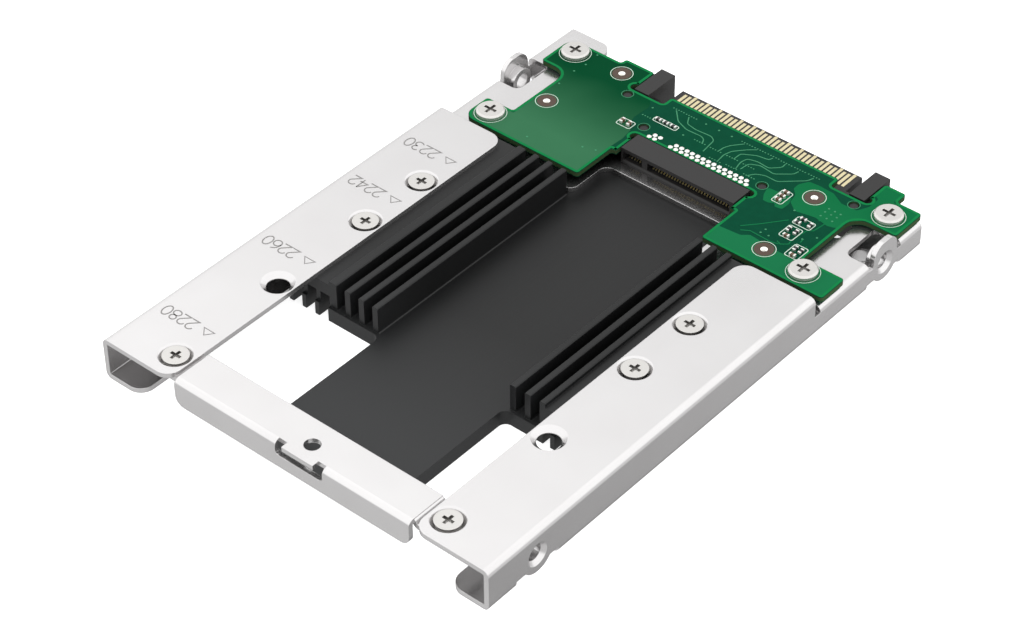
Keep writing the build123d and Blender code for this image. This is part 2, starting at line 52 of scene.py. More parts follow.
camera = bpy.data.objects.new("camera", bpy.data.cameras.new("camera"))
bpy.context.scene.collection.objects.link(camera)
camera.data.sensor_width = sensor_width
camera.data.lens = focal_pixels * sensor_width / image_width
camera.data.clip_start = 0.01
camera.data.clip_end = 20.0
look = Euler((radians(90) - camera_height, 0, camera_turn)).to_matrix().to_4x4()
camera.matrix_world = Matrix.Translation(camera_at) @ look @ Matrix.Rotation(camera_roll, 4, "Z")
bpy.context.scene.camera = camera

# Studio floor. White acrylic of a light table, lit a little from below, so that the carrier stands on plain
# white with hardly a shadow. The steel mirrors the room and not the sheet's far edge.
floor_reach = 3.0
floor_drop = 0.05 * MM
floor_glow = 0.78


def colour(code):
    """Linear colour of an sRGB hex value: c / 12.92 up to 0.04045, and above it ((c + 0.055) / 1.055) to the
    power 2.4."""
    part = np.array([int(code[i:i + 2], 16) for i in (0, 2, 4)]) / 255
    light = np.where(part <= 0.04045, part / 12.92, ((part + 0.055) / 1.055) ** 2.4)
    return (*light.tolist(), 1.0)


def node(tree, kind, inputs=None, **settings):
    """Add one shader node. Settings are its properties, and an input is a value or a (node, output) link."""
    made = tree.nodes.new(kind)
    for name, value in settings.items():
        setattr(made, name, value)
    for socket, value in (inputs or {}).items():
        if isinstance(value, tuple) and isinstance(value[0], bpy.types.Node):
            tree.links.new(value[0].outputs[value[1]], made.inputs[socket])
        else:
            made.inputs[socket].default_value = value
    return made


def start_material(name):
    """An empty node material and the object coordinates that its patterns read."""
    made = bpy.data.materials.new(name)
    made.use_nodes = True
    made.node_tree.nodes.clear()
    place = node(made.node_tree, "ShaderNodeTexCoord")
    return made, made.node_tree, place


def finish_material(tree, shader, height=None, strength=0.2, depth=0.02 * MM, edge=0.0):
    """Send a shader to the surface, with a height pattern as its bump and its edges broken by a radius where
    they are given."""
    if edge:
        broken = node(tree, "ShaderNodeBevel", {"Radius": edge}, samples=6)
        tree.links.new(broken.outputs[0], shader.inputs["Normal"])
    if height is not None:
        bump = node(tree, "ShaderNodeBump", {"Height": height, "Strength": strength, "Distance": depth})
        if edge:
            tree.links.new(broken.outputs[0], bump.inputs["Normal"])
        tree.links.new(bump.outputs[0], shader.inputs["Normal"])
    node(tree, "ShaderNodeOutputMaterial", {"Surface": (shader, 0)})


acrylic, tree, place = start_material("white_acrylic_sheet")
shader = node(tree, "ShaderNodeBsdfPrincipled", {"Base Color": colour("D2D2D2"), "Roughness": 0.9,
                                                 "Emission Color": colour("FFFFFF"),
                                                 "Emission Strength": floor_glow})
finish_material(tree, shader)
corners = np.array([(-1, -1, 0), (1, -1, 0), (1, 1, 0), (-1, 1, 0)]) * floor_reach
floor_mesh = bpy.data.meshes.new("floor")
floor_mesh.from_pydata(corners.tolist(), [], [(0, 1, 2, 3)])
floor_mesh.materials.append(acrylic)
floor = bpy.data.objects.new("floor", floor_mesh)
bpy.context.scene.collection.objects.link(floor)
floor.location.z = -floor_drop
floor.visible_glossy = False

# Studio light. A white tent all round, with a panel behind on the left that level steel mirrors towards the
# lens, brightest along its near edge. The ground below is greyer, and the upright walls mirror that.
tent_light = 1.62
panel_way = (-0.496, 0.573, 0.652)
panel_rim = (0.70, 0.94)
panel_tilt = (-0.366, 1.0, 0.0)
panel_near, panel_middle, panel_far = 0.69, 0.76, 0.86
panel_edge_light = 1.68
panel_middle_light = 1.25
panel_end_drop = -0.22
ground_front_light = 0.80
ground_fall = (-0.76, -0.50)
ground_side = 0.4
ground_low_light = 0.30
ground_high_light = 0.95
horizon = (-0.10, 0.20)

tent = bpy.data.worlds.new("tent")
bpy.context.scene.world = tent
tent.use_nodes = True
tree = tent.node_tree
tree.nodes.clear()
way = node(tree, "ShaderNodeTexCoord")
split = node(tree, "ShaderNodeSeparateXYZ", {0: (way, "Generated")})
towards_panel = node(tree, "ShaderNodeVectorMath", {0: (way, "Generated"), 1: panel_way},
                     operation="DOT_PRODUCT")
across_panel = node(tree, "ShaderNodeVectorMath", {0: (way, "Generated"), 1: panel_tilt},
                    operation="DOT_PRODUCT")
edge_part = node(tree, "ShaderNodeMapRange", {0: (across_panel, "Value"), 1: panel_near, 2: panel_middle,
                                              3: panel_edge_light, 4: panel_middle_light})
end_part = node(tree, "ShaderNodeMapRange", {0: (across_panel, "Value"), 1: panel_middle, 2: panel_far,
                                             3: 0.0, 4: panel_end_drop})
panel = node(tree, "ShaderNodeMath", {0: (edge_part, 0), 1: (end_part, 0)}, operation="ADD")
above = node(tree, "ShaderNodeMapRange", {0: (towards_panel, "Value"), 1: panel_rim[0], 2: panel_rim[1],
                                          3: tent_light, 4: (panel, 0)}, interpolation_type="SMOOTHSTEP")
rear = node(tree, "ShaderNodeMapRange", {0: (split, 2), 1: ground_fall[0], 2: ground_fall[1],
                                         3: ground_low_light, 4: ground_high_light})
below = node(tree, "ShaderNodeMapRange", {0: (split, 1), 1: -ground_side, 2: ground_side,
                                          3: ground_front_light, 4: (rear, 0)})
level = node(tree, "ShaderNodeMapRange", {0: (split, 2), 1: horizon[0], 2: horizon[1]},
             interpolation_type="SMOOTHSTEP")
strength = node(tree, "ShaderNodeMix", {0: (level, 0), 2: (below, 0), 3: (above, 0)})
backdrop = node(tree, "ShaderNodeBackground", {"Color": colour("FFFFFF"), "Strength": (strength, 0)})
node(tree, "ShaderNodeOutputWorld", {"Surface": (backdrop, 0)})
bpy.context.scene.view_settings.view_transform = "Standard"

# Tray and front bar. Zinc plated steel sheet, cut, folded and tapped: a bright satin skin with a fine grain
# from the rolls, faint patches from the plating bath, broken edges, painted shade in its folds and a painted
# shadow on the floor under the socket. The grain is drawn about three times as coarse as a real one so that
# it shows at all.
steel_grain = 0.35 * MM
steel_cloud = 9 * MM
steel_edge = 0.13 * MM
crevice_shade_reach = 2.5 * MM
crevice_shade_open = 0.62
crevice_shade_least = 0.34
# Reach and fading of the painted shadow on the tray floor under the card socket.
socket_shadow_reach = 6 * MM
socket_shadow_open = (0.20, 0.70)
bay_end = 21 * MM
bay_half = 14 * MM
socket_shadow_fade = 2 * MM


def two_tones(tree, place, size, low_code, high_code, detail=2.0):
    """A noise whose patches have a real size in metres, and the colour between two tones that follows it."""
    patches = node(tree, "ShaderNodeTexNoise", {"Vector": (place, "Object"), "Scale": 1 / size,
                                                "Detail": detail})
    tone = node(tree, "ShaderNodeValToRGB", {"Fac": (patches, 0)})
    tone.color_ramp.elements[0].color = colour(low_code)
    tone.color_ramp.elements[1].color = colour(high_code)
    return patches, tone


steel, tree, place = start_material("zinc_plated_steel_satin")
grain = node(tree, "ShaderNodeTexNoise", {"Vector": (place, "Object"), "Scale": 1 / steel_grain,
                                          "Detail": 3.0})
cloud, tone = two_tones(tree, place, steel_cloud, "C7C5C5", "CECDCD")
# Painted shade: the sheet turns darker grey in its own folds and creases, by ambient occlusion.
hollow = node(tree, "ShaderNodeAmbientOcclusion", {"Distance": crevice_shade_reach}, samples=8, only_local=True)
open_share = node(tree, "ShaderNodeMapRange", {0: (hollow, "AO"), 1: 0.0, 2: crevice_shade_open,
                                               3: crevice_shade_least, 4: 1.0})
shade = node(tree, "ShaderNodeMix", {0: (open_share, 0), 6: colour("6A6969"), 7: (tone, 0)},
             data_type="RGBA")
split = node(tree, "ShaderNodeSeparateXYZ", {0: (place, "Object")})
# Painted shadow: near black on the tray floor where the socket and board cover it, behind the heatsink's bay
# and within about 14 mm of the middle.
socket_shadow_ao = node(tree, "ShaderNodeAmbientOcclusion", {"Distance": socket_shadow_reach}, samples=8)
clear_share = node(tree, "ShaderNodeMapRange", {0: (socket_shadow_ao, "AO"), 1: socket_shadow_open[0],
                                                2: socket_shadow_open[1]})
behind_bay = node(tree, "ShaderNodeMapRange", {0: (split, 1), 1: bay_end - socket_shadow_fade, 2: bay_end})
aside = node(tree, "ShaderNodeMath", {0: (split, 0)}, operation="ABSOLUTE")
between = node(tree, "ShaderNodeMapRange", {0: (aside, 0), 1: bay_half, 2: bay_half - socket_shadow_fade})
socket_shadow_gate = node(tree, "ShaderNodeMath", {0: (behind_bay, 0), 1: (between, 0)}, operation="MULTIPLY")
kept = node(tree, "ShaderNodeMix", {0: (socket_shadow_gate, 0), 2: 1.0, 3: (clear_share, 0)})
painted_shadow = node(tree, "ShaderNodeMix", {0: (kept, 0), 6: colour("232323"), 7: (shade, 2)}, data_type="RGBA")
gloss = node(tree, "ShaderNodeMapRange", {0: (grain, 0), 3: 0.17, 4: 0.29})
shader = node(tree, "ShaderNodeBsdfPrincipled", {"Base Color": (painted_shadow, 2), "Metallic": 0.95,
                                                 "Roughness": (gloss, 0)})
finish_material(tree, shader, (grain, 0), 0.12, edge=steel_edge)


def dress(names, material):
    """Give nodes of the solids one material."""
    for name in names:
        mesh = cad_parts[name].data
        mesh.materials.clear()
        mesh.materials.append(material)


dress(["tray", "front_bar"], steel)

# Marks on the left rail. Each screw station has the length of card it serves, in strokes, and the outline of
# a small pointer. They are pressed into the sheet, and their fine grey lines are painted shade of the
# pressed grooves.
rail_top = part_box("tray")[1].z
mark_stations = {"2280": -46.1, "2260": -26.1, "2242": -8.1, "2230": 3.9}
number_shift = 6.85
number_start = -26.85
number_pitch = 1.58
number_size = (2.25, 2.0)
number_line = 0.2
pointer_shape = ((-25.75, 6.55), (-23.75, 6.55), (-24.68, 5.35))
mark_line = 0.07
mark_rise = 0.012
mark_level = rail_top / MM + mark_rise

# Painted shade: the grey of the marks stands in for the shade in the pressed grooves.
groove_shade, tree, place = start_material("groove_painted_shade_in_steel")
grain, tone = two_tones(tree, place, steel_grain, "7C7A79", "959392")
gloss = node(tree, "ShaderNodeMapRange", {0: (grain, 0), 3: 0.35, 4: 0.5})
shader = node(tree, "ShaderNodeBsdfPrincipled", {"Base Color": (tone, 0), "Metallic": 0.9,
                                                 "Roughness": (gloss, 0)})
finish_material(tree, shader)


def place_mesh(name, mesh, material):
    """A new piece of the carrier from a mesh that is in its place already, in metres."""
    mesh.materials.clear()
    mesh.materials.append(material)
    made = bpy.data.objects.new(name, mesh)
    bpy.context.scene.collection.objects.link(made)
    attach(made, "root")


def add_piece(name, points, faces, material, slot, smooth=False):
    """A new piece from an array of points in millimetres and an array or list of faces."""
    mesh = bpy.data.meshes.new(name)
    mesh.from_pydata((np.asarray(points, float) * MM).tolist(), [],
                     [tuple(map(int, face)) for face in faces])
    mesh.polygons.foreach_set("use_smooth", [smooth] * len(mesh.polygons))
    place_mesh(name, mesh, material)


def moved_in(points, gap):
    """A closed outline moved in by a gap: each corner goes along its mitre, gap (n1 + n2) / (1 + n1 . n2),
    where n1 and n2 are the normals of its two sides. The outline runs anticlockwise."""
    points = np.asarray(points, float)
    run = np.roll(points, -1, 0) - points
    run /= np.linalg.norm(run, axis=1, keepdims=True)
    normal = np.column_stack((-run[:, 1], run[:, 0]))
    before = np.roll(normal, 1, 0)
    return points + gap * (normal + before) / (1 + (normal * before).sum(1, keepdims=True))


def band(outer, inner, rise):
    """A flat closed band between two outlines of equal count, level at a height: one quad for each side,
    which faces up where the outlines run anticlockwise."""
    count = len(outer)
    points = np.column_stack((np.vstack((outer, inner)), np.full(2 * count, rise)))
    i = np.arange(count)
    j = (i + 1) % count
    return points, np.column_stack((i, j, j + count, i + count))


def joined(parts):
    """Several (points, faces) pairs as one, with the faces' numbers moved on by the points before them."""
    starts = np.cumsum([0] + [len(points) for points, faces in parts[:-1]])
    return (np.vstack([points for points, faces in parts]),
            [list(face)
             for start, (points, faces) in zip(starts, parts)
             for face in np.asarray(faces) + start])


def beside(points, gap):
    """An open path moved to its left by a gap: each point goes gap n / (n . n), with n the mean of the
    normals of its two runs."""
    points = np.asarray(points, float)
    run = np.diff(points, axis=0)
    run /= np.linalg.norm(run, axis=1, keepdims=True)
    normal = np.column_stack((-run[:, 1], run[:, 0]))
    normal = (np.vstack((normal[:1], normal)) + np.vstack((normal, normal[-1:]))) / 2
    return points + gap * normal / (normal ** 2).sum(1, keepdims=True)


def line(points, width, rise):
    """A flat open band of one width along a path, half of it on either side."""
    sides = np.vstack((beside(points, -width / 2), beside(points, width / 2)))
    i = np.arange(len(points) - 1)
    count = len(points)
    return (np.column_stack((sides, np.full(2 * count, rise))),
            np.column_stack((i, i + 1, i + 1 + count, i + count)))


def arc(middle, radii, first, last, steps=17):
    """Points on an ellipse about a middle, at equal steps of the angle from first to last in degrees."""
    turn = np.radians(np.linspace(first, last, steps))
    return np.asarray(middle) + np.asarray(radii) * np.column_stack((np.cos(turn), np.sin(turn)))


pointers = [band(moved_in(outline, -mark_line), moved_in(outline, mark_line), mark_level)
            for y in mark_stations.values()
            for outline in [np.array(pointer_shape)[::-1] + (0, y)]]
add_piece("rail_pointers", *joined(pointers), groove_shade, "tray_steel")
strokes = {"0": [arc((0.30, 0.50), (0.29, 0.50), 0, 360)],
           "2": [np.vstack((arc((0.30, 0.72), (0.27, 0.28), 170, -35), ((0.02, 0.0), (0.60, 0.0))))],
           "3": [arc((0.29, 0.76), (0.25, 0.24), 150, -90), arc((0.29, 0.27), (0.29, 0.26), 90, -150)],
           "4": [np.array(((0.45, 0.0), (0.45, 1.0))), np.array(((0.45, 1.0), (0.0, 0.30), (0.62, 0.30)))],
           "6": [arc((0.56, 0.42), (0.54, 0.58), 105, 190), arc((0.31, 0.31), (0.29, 0.31), 0, 360)],
           "8": [arc((0.30, 0.76), (0.23, 0.24), 0, 360), arc((0.30, 0.26), (0.29, 0.26), 0, 360)]}
digits = [line((number_start - place * number_pitch, y + number_shift) - stroke * number_size,
               number_line, mark_level)
          for number, y in mark_stations.items()
          for place, digit in enumerate(number)
          for stroke in strokes[digit]]
add_piece("rail_numbers", *joined(digits), groove_shade, "tray_steel")

# Heatsink. One aluminium extrusion, black anodised, held by four screws through the rails: dark and softly
# glossy, with a painted sheen that makes it paler in front. A real die leaves lines a few hundredths of a
# millimetre apart, and these are drawn coarser so that they show.
die_line = 0.25 * MM
die_run = 40 * MM
anodised_tooth = 0.3 * MM
anodised_edge = 0.10 * MM
anodised_sheen_front = -50 * MM
anodised_sheen_rear = -10 * MM

anodised, tree, place = start_material("black_anodised_aluminium")
die_lines = node(tree, "ShaderNodeMapping", {"Vector": (place, "Object"),
                                             "Scale": (1 / die_line, 1 / die_run, 1 / die_line)})
lines = node(tree, "ShaderNodeTexNoise", {"Vector": (die_lines, 0), "Scale": 1.0, "Detail": 2.0})
tooth = node(tree, "ShaderNodeTexNoise", {"Vector": (place, "Object"), "Scale": 1 / anodised_tooth,
                                          "Detail": 3.0})
tone = node(tree, "ShaderNodeValToRGB", {"Fac": (lines, 0)})
tone.color_ramp.elements[0].color = colour("0B0B0C")
tone.color_ramp.elements[1].color = colour("101111")
split = node(tree, "ShaderNodeSeparateXYZ", {0: (place, "Object")})
# Painted sheen: the plate is paler towards its front.
anodised_sheen_share = node(tree, "ShaderNodeMapRange", {0: (split, 1), 1: anodised_sheen_front, 2: anodised_sheen_rear, 3: 1.0,
                                            4: 0.0})
painted_sheen = node(tree, "ShaderNodeMix", {0: (anodised_sheen_share, 0), 6: (tone, 0), 7: colour("2B2C2D")}, data_type="RGBA")
gloss = node(tree, "ShaderNodeMapRange", {0: (tooth, 0), 3: 0.40, 4: 0.52})
shader = node(tree, "ShaderNodeBsdfPrincipled", {"Base Color": (painted_sheen, 2), "Roughness": (gloss, 0),
                                                 "IOR": 1.6, "Specular IOR Level": 0.22})
finish_material(tree, shader, (tooth, 0), 0.12, edge=anodised_edge)
dress(["heatsink"], anodised)

# Circuit board. Glass laminate under a green solder mask, screwed to the bosses of the rear shelves: dark
# green where only laminate lies below the mask, and browner where the rim was milled.
board_low, board_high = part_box("circuit_board")
mask_skin = 0.08 * MM
mask_cloud = 1.5 * MM

mask, tree, place = start_material("green_solder_mask_on_laminate")
split = node(tree, "ShaderNodeSeparateXYZ", {0: (place, "Object")})
upper = node(tree, "ShaderNodeMath", {0: (split, 2), 1: board_high.z - mask_skin}, operation="GREATER_THAN")
lower = node(tree, "ShaderNodeMath", {0: (split, 2), 1: board_low.z + mask_skin}, operation="LESS_THAN")
faces = node(tree, "ShaderNodeMath", {0: (upper, 0), 1: (lower, 0)}, operation="MAXIMUM")
weave, green = two_tones(tree, place, mask_cloud, "073A28", "09442F")
skin = node(tree, "ShaderNodeMix", {"Factor": (faces, 0), 6: colour("33422B"), 7: (green, 0)},
            data_type="RGBA")
gloss = node(tree, "ShaderNodeMapRange", {0: (faces, 0), 3: 0.75, 4: 0.35})
shader = node(tree, "ShaderNodeBsdfPrincipled", {"Base Color": (skin, 2), "Roughness": (gloss, 0),
                                                 "IOR": 1.5, "Specular IOR Level": 0.01})
finish_material(tree, shader, (weave, 0), 0.05)
dress(["circuit_board"], mask)

# Copper under the mask. Poured fields over the left half, behind the right hole and in front, and the tracks
# to the chips: each shows as a lighter green and stands hardly above the laminate. A lighter green band
# along every edge is a painted highlight of the mask's rounded rim.
board_top = board_high.z / MM
copper_rise = 0.012
rim_highlight_gap = 0.06
rim_highlight_width = 0.42
screw_corner = 2.0
bay_corner = 2.4
board_corner = 0.5
lobe_corner = 0.05
board_outline = ((-31.7, 21.0, screw_corner), (-9.45, 21.0, board_corner), (-9.45, 28.9, lobe_corner),
                 (-8.6, 28.9, lobe_corner), (-8.6, 32.6, lobe_corner), (-8.98, 32.70, lobe_corner),
                 (-9.25, 32.98, lobe_corner), (-9.35, 33.35, lobe_corner), (-9.25, 33.72, lobe_corner),
                 (-8.98, 34.0, lobe_corner), (-8.6, 34.1, lobe_corner), (12.6, 34.1, lobe_corner),
                 (12.98, 34.0, lobe_corner), (13.25, 33.72, lobe_corner), (13.35, 33.35, lobe_corner),
                 (13.25, 32.98, lobe_corner), (12.98, 32.70, lobe_corner), (12.6, 32.6, lobe_corner),
                 (12.6, 28.9, lobe_corner), (13.45, 28.9, lobe_corner), (13.45, 21.0, board_corner),
                 (34.65, 21.0, board_corner), (34.65, 26.4, board_corner), (27.5, 26.4, board_corner),
                 (27.5, 38.9, bay_corner), (34.65, 38.9, board_corner), (34.65, 45.4, board_corner),
                 (30.3, 45.4, board_corner), (30.3, 47.7, board_corner), (26.65, 47.7, board_corner),
                 (26.65, 43.8, lobe_corner), (27.02, 43.7, lobe_corner), (27.3, 43.42, lobe_corner),
                 (27.4, 43.05, lobe_corner), (27.3, 42.68, lobe_corner), (27.02, 42.4, lobe_corner),
                 (26.65, 42.3, lobe_corner), (20.7, 42.3, board_corner), (20.7, 44.4, board_corner),
                 (-10.3, 44.4, board_corner), (-10.3, 42.3, board_corner), (-16.25, 42.3, lobe_corner),
                 (-16.62, 42.4, lobe_corner), (-16.9, 42.68, lobe_corner), (-17.0, 43.05, lobe_corner),
                 (-16.9, 43.42, lobe_corner), (-16.62, 43.7, lobe_corner), (-16.25, 43.8, lobe_corner),
                 (-16.25, 47.7, board_corner), (-21.8, 47.7, board_corner), (-21.8, 46.5, board_corner),
                 (-31.7, 46.5, screw_corner), (-31.7, 39.3, board_corner), (-26.6, 39.3, bay_corner),
                 (-26.6, 26.6, board_corner), (-31.7, 26.6, board_corner))
left_pour = ((-31.3, 21.4, 1.6), (-9.85, 21.4, 0.3), (-9.85, 28.6, 0.3), (-9.67, 31.71, 0.3),
             (-10.0, 34.09, 0.3), (-11.13, 35.3, 0.5), (-11.68, 36.99, 0.5), (-11.48, 40.14, 0.5),
             (-11.84, 41.2, 0.3), (-12.82, 42.03, 0.3), (-16.9, 42.1, 0.2), (-17.3, 43.05, 0.2),
             (-16.65, 44.2, 0.2), (-16.65, 47.3, 0.3), (-21.4, 47.3, 0.3), (-21.4, 46.1, 0.3),
             (-31.3, 46.1, 1.6), (-31.3, 39.7, 0.3), (-26.2, 39.7, 2.8), (-26.2, 26.2, 0.3),
             (-31.3, 26.2, 0.3))
right_pour = ((27.1, 35.0, 0.2), (26.67, 34.79, 0.3), (25.72, 34.49, 0.5), (23.31, 34.97, 1.0),
              (20.11, 34.3, 0.8), (18.38, 35.63, 0.8), (18.02, 37.34, 0.8), (16.9, 38.45, 0.5),
              (16.88, 39.7, 0.8), (17.74, 41.18, 0.6), (19.44, 41.32, 0.5), (22.05, 41.2, 0.5),
              (24.3, 40.0, 0.3), (26.9, 40.1, 0.3), (27.8, 41.9, 0.3), (27.8, 44.2, 0.3),
              (27.05, 44.6, 0.2), (27.05, 47.3, 0.3), (29.9, 47.3, 0.3), (29.9, 45.0, 0.3),
              (34.25, 45.0, 0.3), (34.25, 39.3, 0.3), (29.5, 39.3, 2.0), (27.1, 36.9, 2.0))
pad_pour = ((13.9, 36.21, 0.4), (14.38, 34.57, 0.3), (15.1, 33.4, 0.3), (16.0, 33.4, 0.2),
            (16.86, 33.86, 0.2), (17.32, 33.24, 0.2), (18.5, 33.46, 0.4), (18.54, 35.01, 0.3),
            (17.99, 36.56, 0.4))
front_pour = ((13.85, 21.4, 0.3), (34.25, 21.4, 0.3), (34.25, 26.0, 0.3), (28.53, 26.0, 0.5),
              (25.93, 25.41, 0.8), (23.01, 25.39, 0.8), (20.14, 25.68, 0.8), (18.55, 25.83, 0.5),
              (17.45, 24.92, 0.5), (13.85, 24.6, 0.2))
tracks = (((16.2, 26.58), (17.98, 28.56), (20.72, 32.07)),
          ((16.77, 25.82), (17.98, 26.58), (21.64, 26.44), (22.88, 26.75)),
          ((22.26, 27.2), (23.07, 26.9), (23.98, 27.65), (23.78, 28.71), (24.19, 31.75), (24.93, 32.36),
           (25.22, 34.57), (24.68, 35.12), (24.13, 34.66)),
          ((25.03, 29.01), (24.95, 29.92)),
          ((26.27, 28.11), (26.31, 28.86)))
track_width = 0.2
hole_places = np.array(((-20.0, 44.4), (-24.3, 31.7), (20.5, 38.6), (22.0, 24.5)))
hole_r = 0.55
hole_clear_r = 0.8
peg_places = np.array(((-9.0, 36.0), (13.0, 36.0), (-16.05, 40.9), (25.85, 40.9)))
peg_clear_r = 0.85
pour_cloud = 9 * MM
cloud_share = 0.25
mask_sheen_full = 26 * MM
mask_sheen_gone = 43 * MM


def mask_over_copper(name, sheen_code, plain_code):
    """Green mask over copper, with a painted sheen that makes it paler at the front edge and fades out
    towards the plug.
    """
    made, tree, place = start_material(name)
    cloud = node(tree, "ShaderNodeTexNoise", {"Vector": (place, "Object"), "Scale": 1 / pour_cloud,
                                              "Detail": 2.0})
    split = node(tree, "ShaderNodeSeparateXYZ", {0: (place, "Object")})
    # Painted sheen: the mask is paler at the front edge and plain towards the plug.
    share = node(tree, "ShaderNodeMapRange", {0: (split, 1), 1: mask_sheen_full, 2: mask_sheen_gone})
    patchy = node(tree, "ShaderNodeMath", {0: (cloud, 0), 1: cloud_share, 2: (share, 0)},
                  operation="MULTIPLY_ADD")
    green = node(tree, "ShaderNodeValToRGB", {"Fac": (patchy, 0)})
    green.color_ramp.elements[0].color = colour(sheen_code)
    green.color_ramp.elements[1].color = colour(plain_code)
    gloss = node(tree, "ShaderNodeMapRange", {0: (cloud, 0), 3: 0.32, 4: 0.42})
    shader = node(tree, "ShaderNodeBsdfPrincipled", {"Base Color": (green, 0), "Roughness": (gloss, 0),
                                                     "IOR": 1.5, "Specular IOR Level": 0.01})
    finish_material(tree, shader)
    return made


wide_copper = mask_over_copper("green_solder_mask_on_wide_pour", "36694A", "023D22")
copper = mask_over_copper("green_solder_mask_on_copper", "17653F", "0D5F37")


def circle(at, radius, sides=32):
    """An outline of equal steps round a circle, anticlockwise."""
    turn = np.linspace(0, 2 * np.pi, sides, endpoint=False)
    return np.asarray(at) + radius * np.column_stack((np.cos(turn), np.sin(turn)))


def rounded(corners, steps=6):
    """A closed outline whose corners (x, y, radius) are arcs. An arc's middle is p + r (u + v) / |u + v| /
    sin(a / 2), with u and v the unit ways to the neighbours and a the angle between them. It runs from
    p + u t to p + v t, with t = r / tan(a / 2), turned evenly from the one arm to the other."""
    corners = np.asarray(corners, float)
    p, r = corners[:, :2], corners[:, 2:]
    u = np.roll(p, 1, 0) - p
    v = np.roll(p, -1, 0) - p
    u /= np.linalg.norm(u, axis=1, keepdims=True)
    v /= np.linalg.norm(v, axis=1, keepdims=True)
    half = np.arccos(np.clip((u * v).sum(1, keepdims=True), -1, 1)) / 2
    middle = p + r * (u + v) / np.linalg.norm(u + v, axis=1, keepdims=True) / np.sin(half)
    first, last = p + u * r / np.tan(half) - middle, p + v * r / np.tan(half) - middle
    turn = (np.pi - 2 * half)[:, None]
    share = np.linspace(0, 1, steps)[None, :, None]
    arm = np.sin((1 - share) * turn) * first[:, None] + np.sin(share * turn) * last[:, None]
    return (middle[:, None] + arm / np.sin(turn)).reshape(-1, 2)


def inside(outline, places):
    """Which places lie in a closed outline: those from which a ray along X crosses its sides an odd number
    of times."""
    a = np.asarray(outline, float)[:, None]
    b = np.roll(np.asarray(outline, float), -1, 0)[:, None]
    p = np.asarray(places, float)[None]
    spans = (a[..., 1] > p[..., 1]) != (b[..., 1] > p[..., 1])
    rise = np.where(spans, b[..., 1] - a[..., 1], 1)
    cut = a[..., 0] + (p[..., 1] - a[..., 1]) * (b[..., 0] - a[..., 0]) / rise
    return (spans & (p[..., 0] < cut)).sum(0) % 2 == 1


def flat_mesh(curve_data, name):
    """The mesh of a flat curve, by way of a short-lived object."""
    holder = bpy.data.objects.new(name, curve_data)
    bpy.context.scene.collection.objects.link(holder)
    bpy.context.view_layer.update()
    mesh = bpy.data.meshes.new_from_object(holder.evaluated_get(bpy.context.evaluated_depsgraph_get()))
    bpy.data.objects.remove(holder)
    return mesh


def add_field(name, outline, holes, rise, material):
    """A flat field inside an outline, open at its holes, filled as a flat curve and kept as a mesh."""
    curve = bpy.data.curves.new(name, "CURVE")
    curve.dimensions = "2D"
    curve.fill_mode = "BOTH"
    for loop in [np.asarray(outline, float), *holes]:
        spline = curve.splines.new("POLY")
        spline.points.add(len(loop) - 1)
        places = np.column_stack((loop, np.zeros(len(loop)), np.ones(len(loop))))
        spline.points.foreach_set("co", places.ravel())
        spline.use_cyclic_u = True
    mesh = flat_mesh(curve, name)
    spread = np.empty(len(mesh.vertices) * 3)
    mesh.vertices.foreach_get("co", spread)
    spread = spread.reshape(-1, 3) + (0, 0, rise)
    mesh.vertices.foreach_set("co", (spread * MM).ravel())
    mesh.update()
    if mesh.polygons[0].normal.z < 0:
        mesh.flip_normals()
    place_mesh(name, mesh, material)


for name, corners, material in (("left_copper", left_pour, wide_copper),
                                ("right_copper", right_pour, copper),
                                ("front_copper", front_pour, copper),
                                ("pad_copper", pad_pour, copper)):
    field = rounded(corners)
    openings = [circle(at, hole_clear_r) for at in hole_places[inside(field, hole_places)]]
    openings += [circle(at, peg_clear_r) for at in peg_places[inside(field, peg_places)]]
    add_field(name, field, openings, board_top + copper_rise, material)
board_edge = rounded(board_outline)
# Painted highlight: a pale green band just inside every edge of the board, standing for the light on the
# rounded mask rim.
rim_highlight = band(moved_in(board_edge, rim_highlight_gap), moved_in(board_edge, rim_highlight_gap + rim_highlight_width),
             board_top + 2 * copper_rise)

rim_highlight_green, tree, place = start_material("painted_highlight_on_mask_rim")
cloud, green = two_tones(tree, place, mask_cloud, "0F6838", "157540")
gloss = node(tree, "ShaderNodeMapRange", {0: (cloud, 0), 3: 0.32, 4: 0.42})
shader = node(tree, "ShaderNodeBsdfPrincipled", {"Base Color": (green, 0), "Roughness": (gloss, 0),
                                                 "IOR": 1.5, "Specular IOR Level": 0.01})
finish_material(tree, shader)
add_piece("mask_rim_highlight", *rim_highlight, rim_highlight_green, "board_laminate")
chip_lines = [line(path, track_width, board_top + 2 * copper_rise) for path in tracks]
add_piece("chip_tracks", *joined(chip_lines), copper, "board_laminate")

